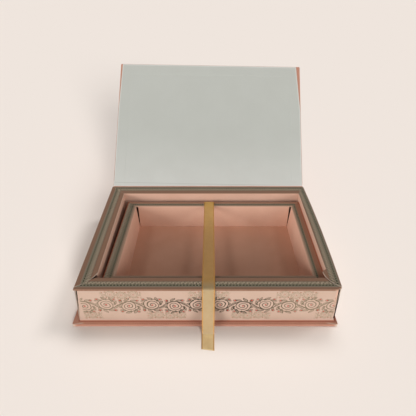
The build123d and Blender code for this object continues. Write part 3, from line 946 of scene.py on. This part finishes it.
# %% Lining paper
LINING_NEAR = ink(212, 212, 206)
LINING_FAR_SHADE = ink(189, 191, 184)
LINING_SHADE = ink(168, 168, 160)
TURN_IN = 15.0
LID_HALF = 131.75
LINING_LENGTH = 181.6
LINING_STRAIGHT = 112.0
MARGIN = 0.5
DRAWN_LEFT = 2.2
DRAWN_RIGHT = 4.9
PRESSED_LINE = 1.2
HINGE_CREASE = 2.6
TOOTH_SIZE = 0.5
SHADE_SIZE = 30.0
LINING_SHARES = {"cloud": 0.08, "tooth": 0.16, "edge": 0.7, "pressed": 0.2, "hinge": 0.35}
LINING_ROUGHNESS = 0.85
LINING_DEPTH = 0.1

lining_finish = Finish(bpy.data.materials.new("lining"))
spot, across, along, _ = lid_plane(lining_finish)
draw_in = ((along - LINING_STRAIGHT) / (LINING_LENGTH - LINING_STRAIGHT)).most(0)
from_left = across + LID_HALF - MARGIN - draw_in * DRAWN_LEFT
from_right = LID_HALF - MARGIN - draw_in * DRAWN_RIGHT - across
from_edge = from_left.least(from_right).least(LINING_LENGTH - along)
tooth = grain(lining_finish, spot, TOOTH_SIZE, 4.0)
cloud = grain(lining_finish, spot, SHADE_SIZE, 2.0)
# Painted shade: darker from the hinge towards the free edge.
colour = mix(lining_finish, along.rise(-40, 90), LINING_NEAR, LINING_FAR_SHADE)
colour = mix(lining_finish, cloud.rise(0.3, 0.7) * LINING_SHARES["cloud"], colour, LINING_SHADE)
colour = mix(lining_finish, tooth.rise(0.5, 0.7) * LINING_SHARES["tooth"], colour, LINING_SHADE)
inside_line = from_edge.rise(PRESSED_LINE, PRESSED_LINE + 0.6)
pressed = from_edge.band(PRESSED_LINE + 0.6, PRESSED_LINE + 1.0, 0.2)
# Painted shade along the crease at the hinge.
hinge_crease_shade = (along - HINGE_CREASE).line(1.2, 0.3)
colour = mix(lining_finish, (1 - inside_line) * LINING_SHARES["edge"], colour, LINING_NEAR)
colour = mix(lining_finish, pressed * LINING_SHARES["pressed"], colour, LINING_SHADE)
colour = mix(lining_finish, hinge_crease_shade * LINING_SHARES["hinge"], colour, LINING_SHADE)
inside_margin = (across + LID_HALF).least(LID_HALF - across).least(LINING_LENGTH - along)
step = inside_margin.rise(TURN_IN - 0.5, TURN_IN + 0.5)
relief = tooth * 0.5 - step - inside_line
dress(["lid_liner"], cover(lining_finish, colour, LINING_ROUGHNESS, relief, LINING_DEPTH))

# %% [markdown]
# The sheet under the base and the patch that holds the ribbon's end are the same paper, uncreased. They
# need no plane of their own, because the paper's tooth looks alike from every side.

# %% Plain lining paper
PLAIN_DEPTH = 0.08

plain_finish = Finish(bpy.data.materials.new("plain_lining"))
spot = place(plain_finish)
tooth = grain(plain_finish, spot, TOOTH_SIZE, 4.0)
colour = mix(plain_finish, tooth.rise(0.45, 0.7) * 0.35, LINING_NEAR, LINING_SHADE)
dress(["base_lining", "ribbon_patch"], cover(plain_finish, colour, LINING_ROUGHNESS, tooth, PLAIN_DEPTH))

# %% [markdown]
# ## Board
#
# Grey board fills the base, the lid and the space under the inner tray. Almost nothing of it shows, but
# it has its speckle all the same, because an edge may be seen through a slit.

# %% Grey board
BOARD_DARK = ink(150, 144, 136)
BOARD_LIGHT = ink(186, 180, 170)
FLECK_SIZE = 0.9
BOARD_ROUGHNESS = 0.9
BOARD_DEPTH = 0.1

board_finish = Finish(bpy.data.materials.new("speckled_board"))
flecks = grain(board_finish, place(board_finish), FLECK_SIZE, 5.0)
colour = mix(board_finish, flecks.rise(0.35, 0.65), BOARD_DARK, BOARD_LIGHT)
board_card = cover(board_finish, colour, BOARD_ROUGHNESS, flecks, BOARD_DEPTH)
dress(["base_board", "lid_board", "insert_pad"], board_card)

# %% [markdown]
# ## Ribbon
#
# The ribbon lifts the inner tray. It is one length of satin, so it is one strip of cloth laid along a
# line: up behind the inner tray, over its rim and the hollow, over the front rim and down to the table.
# It could be draped by a cloth simulation, but here the photograph shows how it lies. A curve gives that
# line its soft bends, and the strip is built across it, a little crowned, with its end cut aslant.

# %% The ribbon's line
RIBBON_WIDTH = 13.0
RIBBON_THICK = 0.3
RIBBON_BACK_X = 1.8
RIBBON_LINE = [
    (67.2, 10.2), (67.2, 27), (67.2, 40), (66.9, 43.9), (64.4, 44.55), (50, 45.1), (10, 47.0), (-35, 49.9),
    (-68, 52.1), (-77, 52.6), (-87, 52.65), (-91.2, 52.5), (-92.9, 51.2), (-93.7, 47.5), (-97.5, 32),
    (-101.6, 16), (-104.9, 4.6), (-106.6, 1.2), (-109.5, 0.5), (-116, 0.4), (-124.6, 0.4),
]
BEND_STEPS = 6


def between(a, b, c, d, t):
    """A value a share t of the way from b to c, on a smooth curve whose slopes come from a and d."""
    square = (2 * a - 5 * b + 4 * c - d) * t * t
    cube = (3 * b - a - 3 * c + d) * t ** 3
    return 0.5 * (2 * b + (c - a) * t + square + cube)


def smooth_line(points, steps):
    """Points of a smooth curve through the given ones."""
    found = []
    ends = [points[0], *points, points[-1]]
    for four in zip(ends, ends[1:], ends[2:], ends[3:]):
        for step in range(steps):
            found.append([between(*values, step / steps) for values in zip(*four)])
    return found + [list(points[-1])]


path = smooth_line(RIBBON_LINE, BEND_STEPS)
reach = [math.dist(a, b) for a, b in zip(path, path[1:])]
ribbon_length = sum(reach)
print(f"ribbon: {ribbon_length:.1f} mm long, {len(path)} stations")

# %% The strip's points
COLUMNS = 12
CROWN = 0.25
CROWN_STARTS = 4
CROWN_ENDS = 12
END_SLANT = 1.8
SLANT_RUN = 10

places = []
across_values = []
along_values = []
walked = [0.0]
for length in reach:
    walked.append(walked[-1] + length)
for station, (y, z) in enumerate(path):
    before = path[max(station - 1, 0)]
    after = path[min(station + 1, len(path) - 1)]
    run = Vector((after[0] - before[0], after[1] - before[1])).normalized()
    upper = Vector((run.y, -run.x))
    share = walked[station] / ribbon_length
    for column in range(COLUMNS + 1):
        side = column / COLUMNS * 2 - 1
        lift = CROWN * (1 - side * side) * min(1, CROWN_STARTS * share) * min(1, CROWN_ENDS * (1 - share))
        slide = END_SLANT * (side * 0.5) * max(0.0, 1 - (ribbon_length - walked[station]) / SLANT_RUN)
        x = hinge_x + RIBBON_BACK_X * (1 - share) + side * RIBBON_WIDTH / 2
        spot_y = y + upper.x * lift - slide
        places.append((x * MM, spot_y * MM, (z + upper.y * lift) * MM))
        across_values.append(side * RIBBON_WIDTH / 2)
        along_values.append(walked[station])
print(f"ribbon strip: {len(places)} points")

# %% The strip of cloth
row = COLUMNS + 1
starts = [station * row + column for station in range(len(path) - 1) for column in range(COLUMNS)]
faces = [(start, start + 1, start + row + 1, start + row) for start in starts]

ribbon_mesh = bpy.data.meshes.new("satin_ribbon")
ribbon_mesh.from_pydata(places, [], faces)
for name, values in (("across", across_values), ("along", along_values)):
    ribbon_mesh.attributes.new(name, "FLOAT", "POINT").data.foreach_set("value", values)
ribbon_mesh.polygons.foreach_set("use_smooth", [True] * len(faces))
satin = bpy.data.objects.new("satin_ribbon", ribbon_mesh)
bpy.context.scene.collection.objects.link(satin)
thickness = satin.modifiers.new("thickness", "SOLIDIFY")
thickness.thickness = RIBBON_THICK * MM
thickness.offset = 0
print(f"ribbon strip: {len(faces)} faces")

# %% [markdown]
# Satin is woven so that long threads float on its face. They run along the ribbon and shine across it,
# and the two edges are woven tighter and look deeper in colour. The cloth is thin, so what lies under it
# shows through. Light and shade are painted into its colour along the length: deep gold behind, duller
# where the ribbon hangs down in full light, and pale at its end. Threads could be modelled, but at this
# size they are finer than anything the eye picks out, so they are waves in the colour and in the relief.

# %% Satin
# Painted light and shade along the ribbon's length, from behind to its end.
PAINTED_GOLD_BEHIND = ink(222, 176, 95)
PAINTED_GOLD_MIDDLE = ink(192, 148, 88)
PAINTED_GOLD_FALL = ink(171, 149, 112)
PAINTED_GOLD_END = ink(239, 211, 157)
GOLD_DARK = ink(144, 103, 48)
GOLD_SHINE = ink(194, 171, 121)
EDGE_GOLD = ink(192, 134, 58)
FALL_START = ribbon_length - 86
FALL_END = ribbon_length - 19
THREAD_PITCH = 0.42
PICK_PITCH = 0.55
SELVAGE_WIDTH = 1.1
SELVAGE_INSET = 0.6
SATIN_CLOUD_SIZE = 6.0
SATIN_SHARES = {"cloud": 0.15, "picks": 0.18, "floats": 0.15, "selvage": 0.75}
SATIN_ROUGHNESS = 0.42
SATIN_DEPTH = 0.05
SATIN_SOCKETS = {"Alpha": 0.68, "Anisotropic": 0.4}

satin_finish = Finish(bpy.data.materials.new("satin"))
across = satin_finish.node("Attribute", {"attribute_name": "across"}, {}, "Fac")
along = satin_finish.node("Attribute", {"attribute_name": "along"}, {}, "Fac")
floats = (across * (TURN / THREAD_PITCH)).sine()
picks = (along * (TURN / PICK_PITCH) + floats * 0.6).sine()
# Painted light and shade along the length.
colour = mix(satin_finish, along.rise(40, 130), PAINTED_GOLD_BEHIND, PAINTED_GOLD_MIDDLE)
colour = mix(satin_finish, along.rise(FALL_START, FALL_START + 14), colour, PAINTED_GOLD_FALL)
colour = mix(satin_finish, along.rise(FALL_END, FALL_END + 4), colour, PAINTED_GOLD_END)
cloud = grain(satin_finish, place(satin_finish), SATIN_CLOUD_SIZE, 2.0).rise(0.3, 0.7)
colour = mix(satin_finish, cloud * SATIN_SHARES["cloud"], colour, GOLD_DARK)
colour = mix(satin_finish, picks.rise(0.2, 1.0) * SATIN_SHARES["picks"], colour, GOLD_DARK)
colour = mix(satin_finish, floats.rise(0.3, 1.0) * SATIN_SHARES["floats"], colour, GOLD_SHINE)
selvage = (abs(across) - RIBBON_WIDTH / 2 + SELVAGE_INSET).line(SELVAGE_WIDTH, 0.25)
colour = mix(satin_finish, selvage * SATIN_SHARES["selvage"], colour, EDGE_GOLD)
relief = floats * 0.3 + picks * 0.4 + selvage * 0.8
satin_material = cover(satin_finish, colour, SATIN_ROUGHNESS, relief, SATIN_DEPTH, **SATIN_SOCKETS)
ribbon_mesh.materials.append(satin_material)

table_and_ribbon.objects.link(satin)
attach(satin, "case")
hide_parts("ribbon")
print("ribbon dressed in", satin_material.name)

# %% [markdown]
# ## End
#
# The solids are the true size, so the dressed box may not be larger.

# %% Finish
print("done")
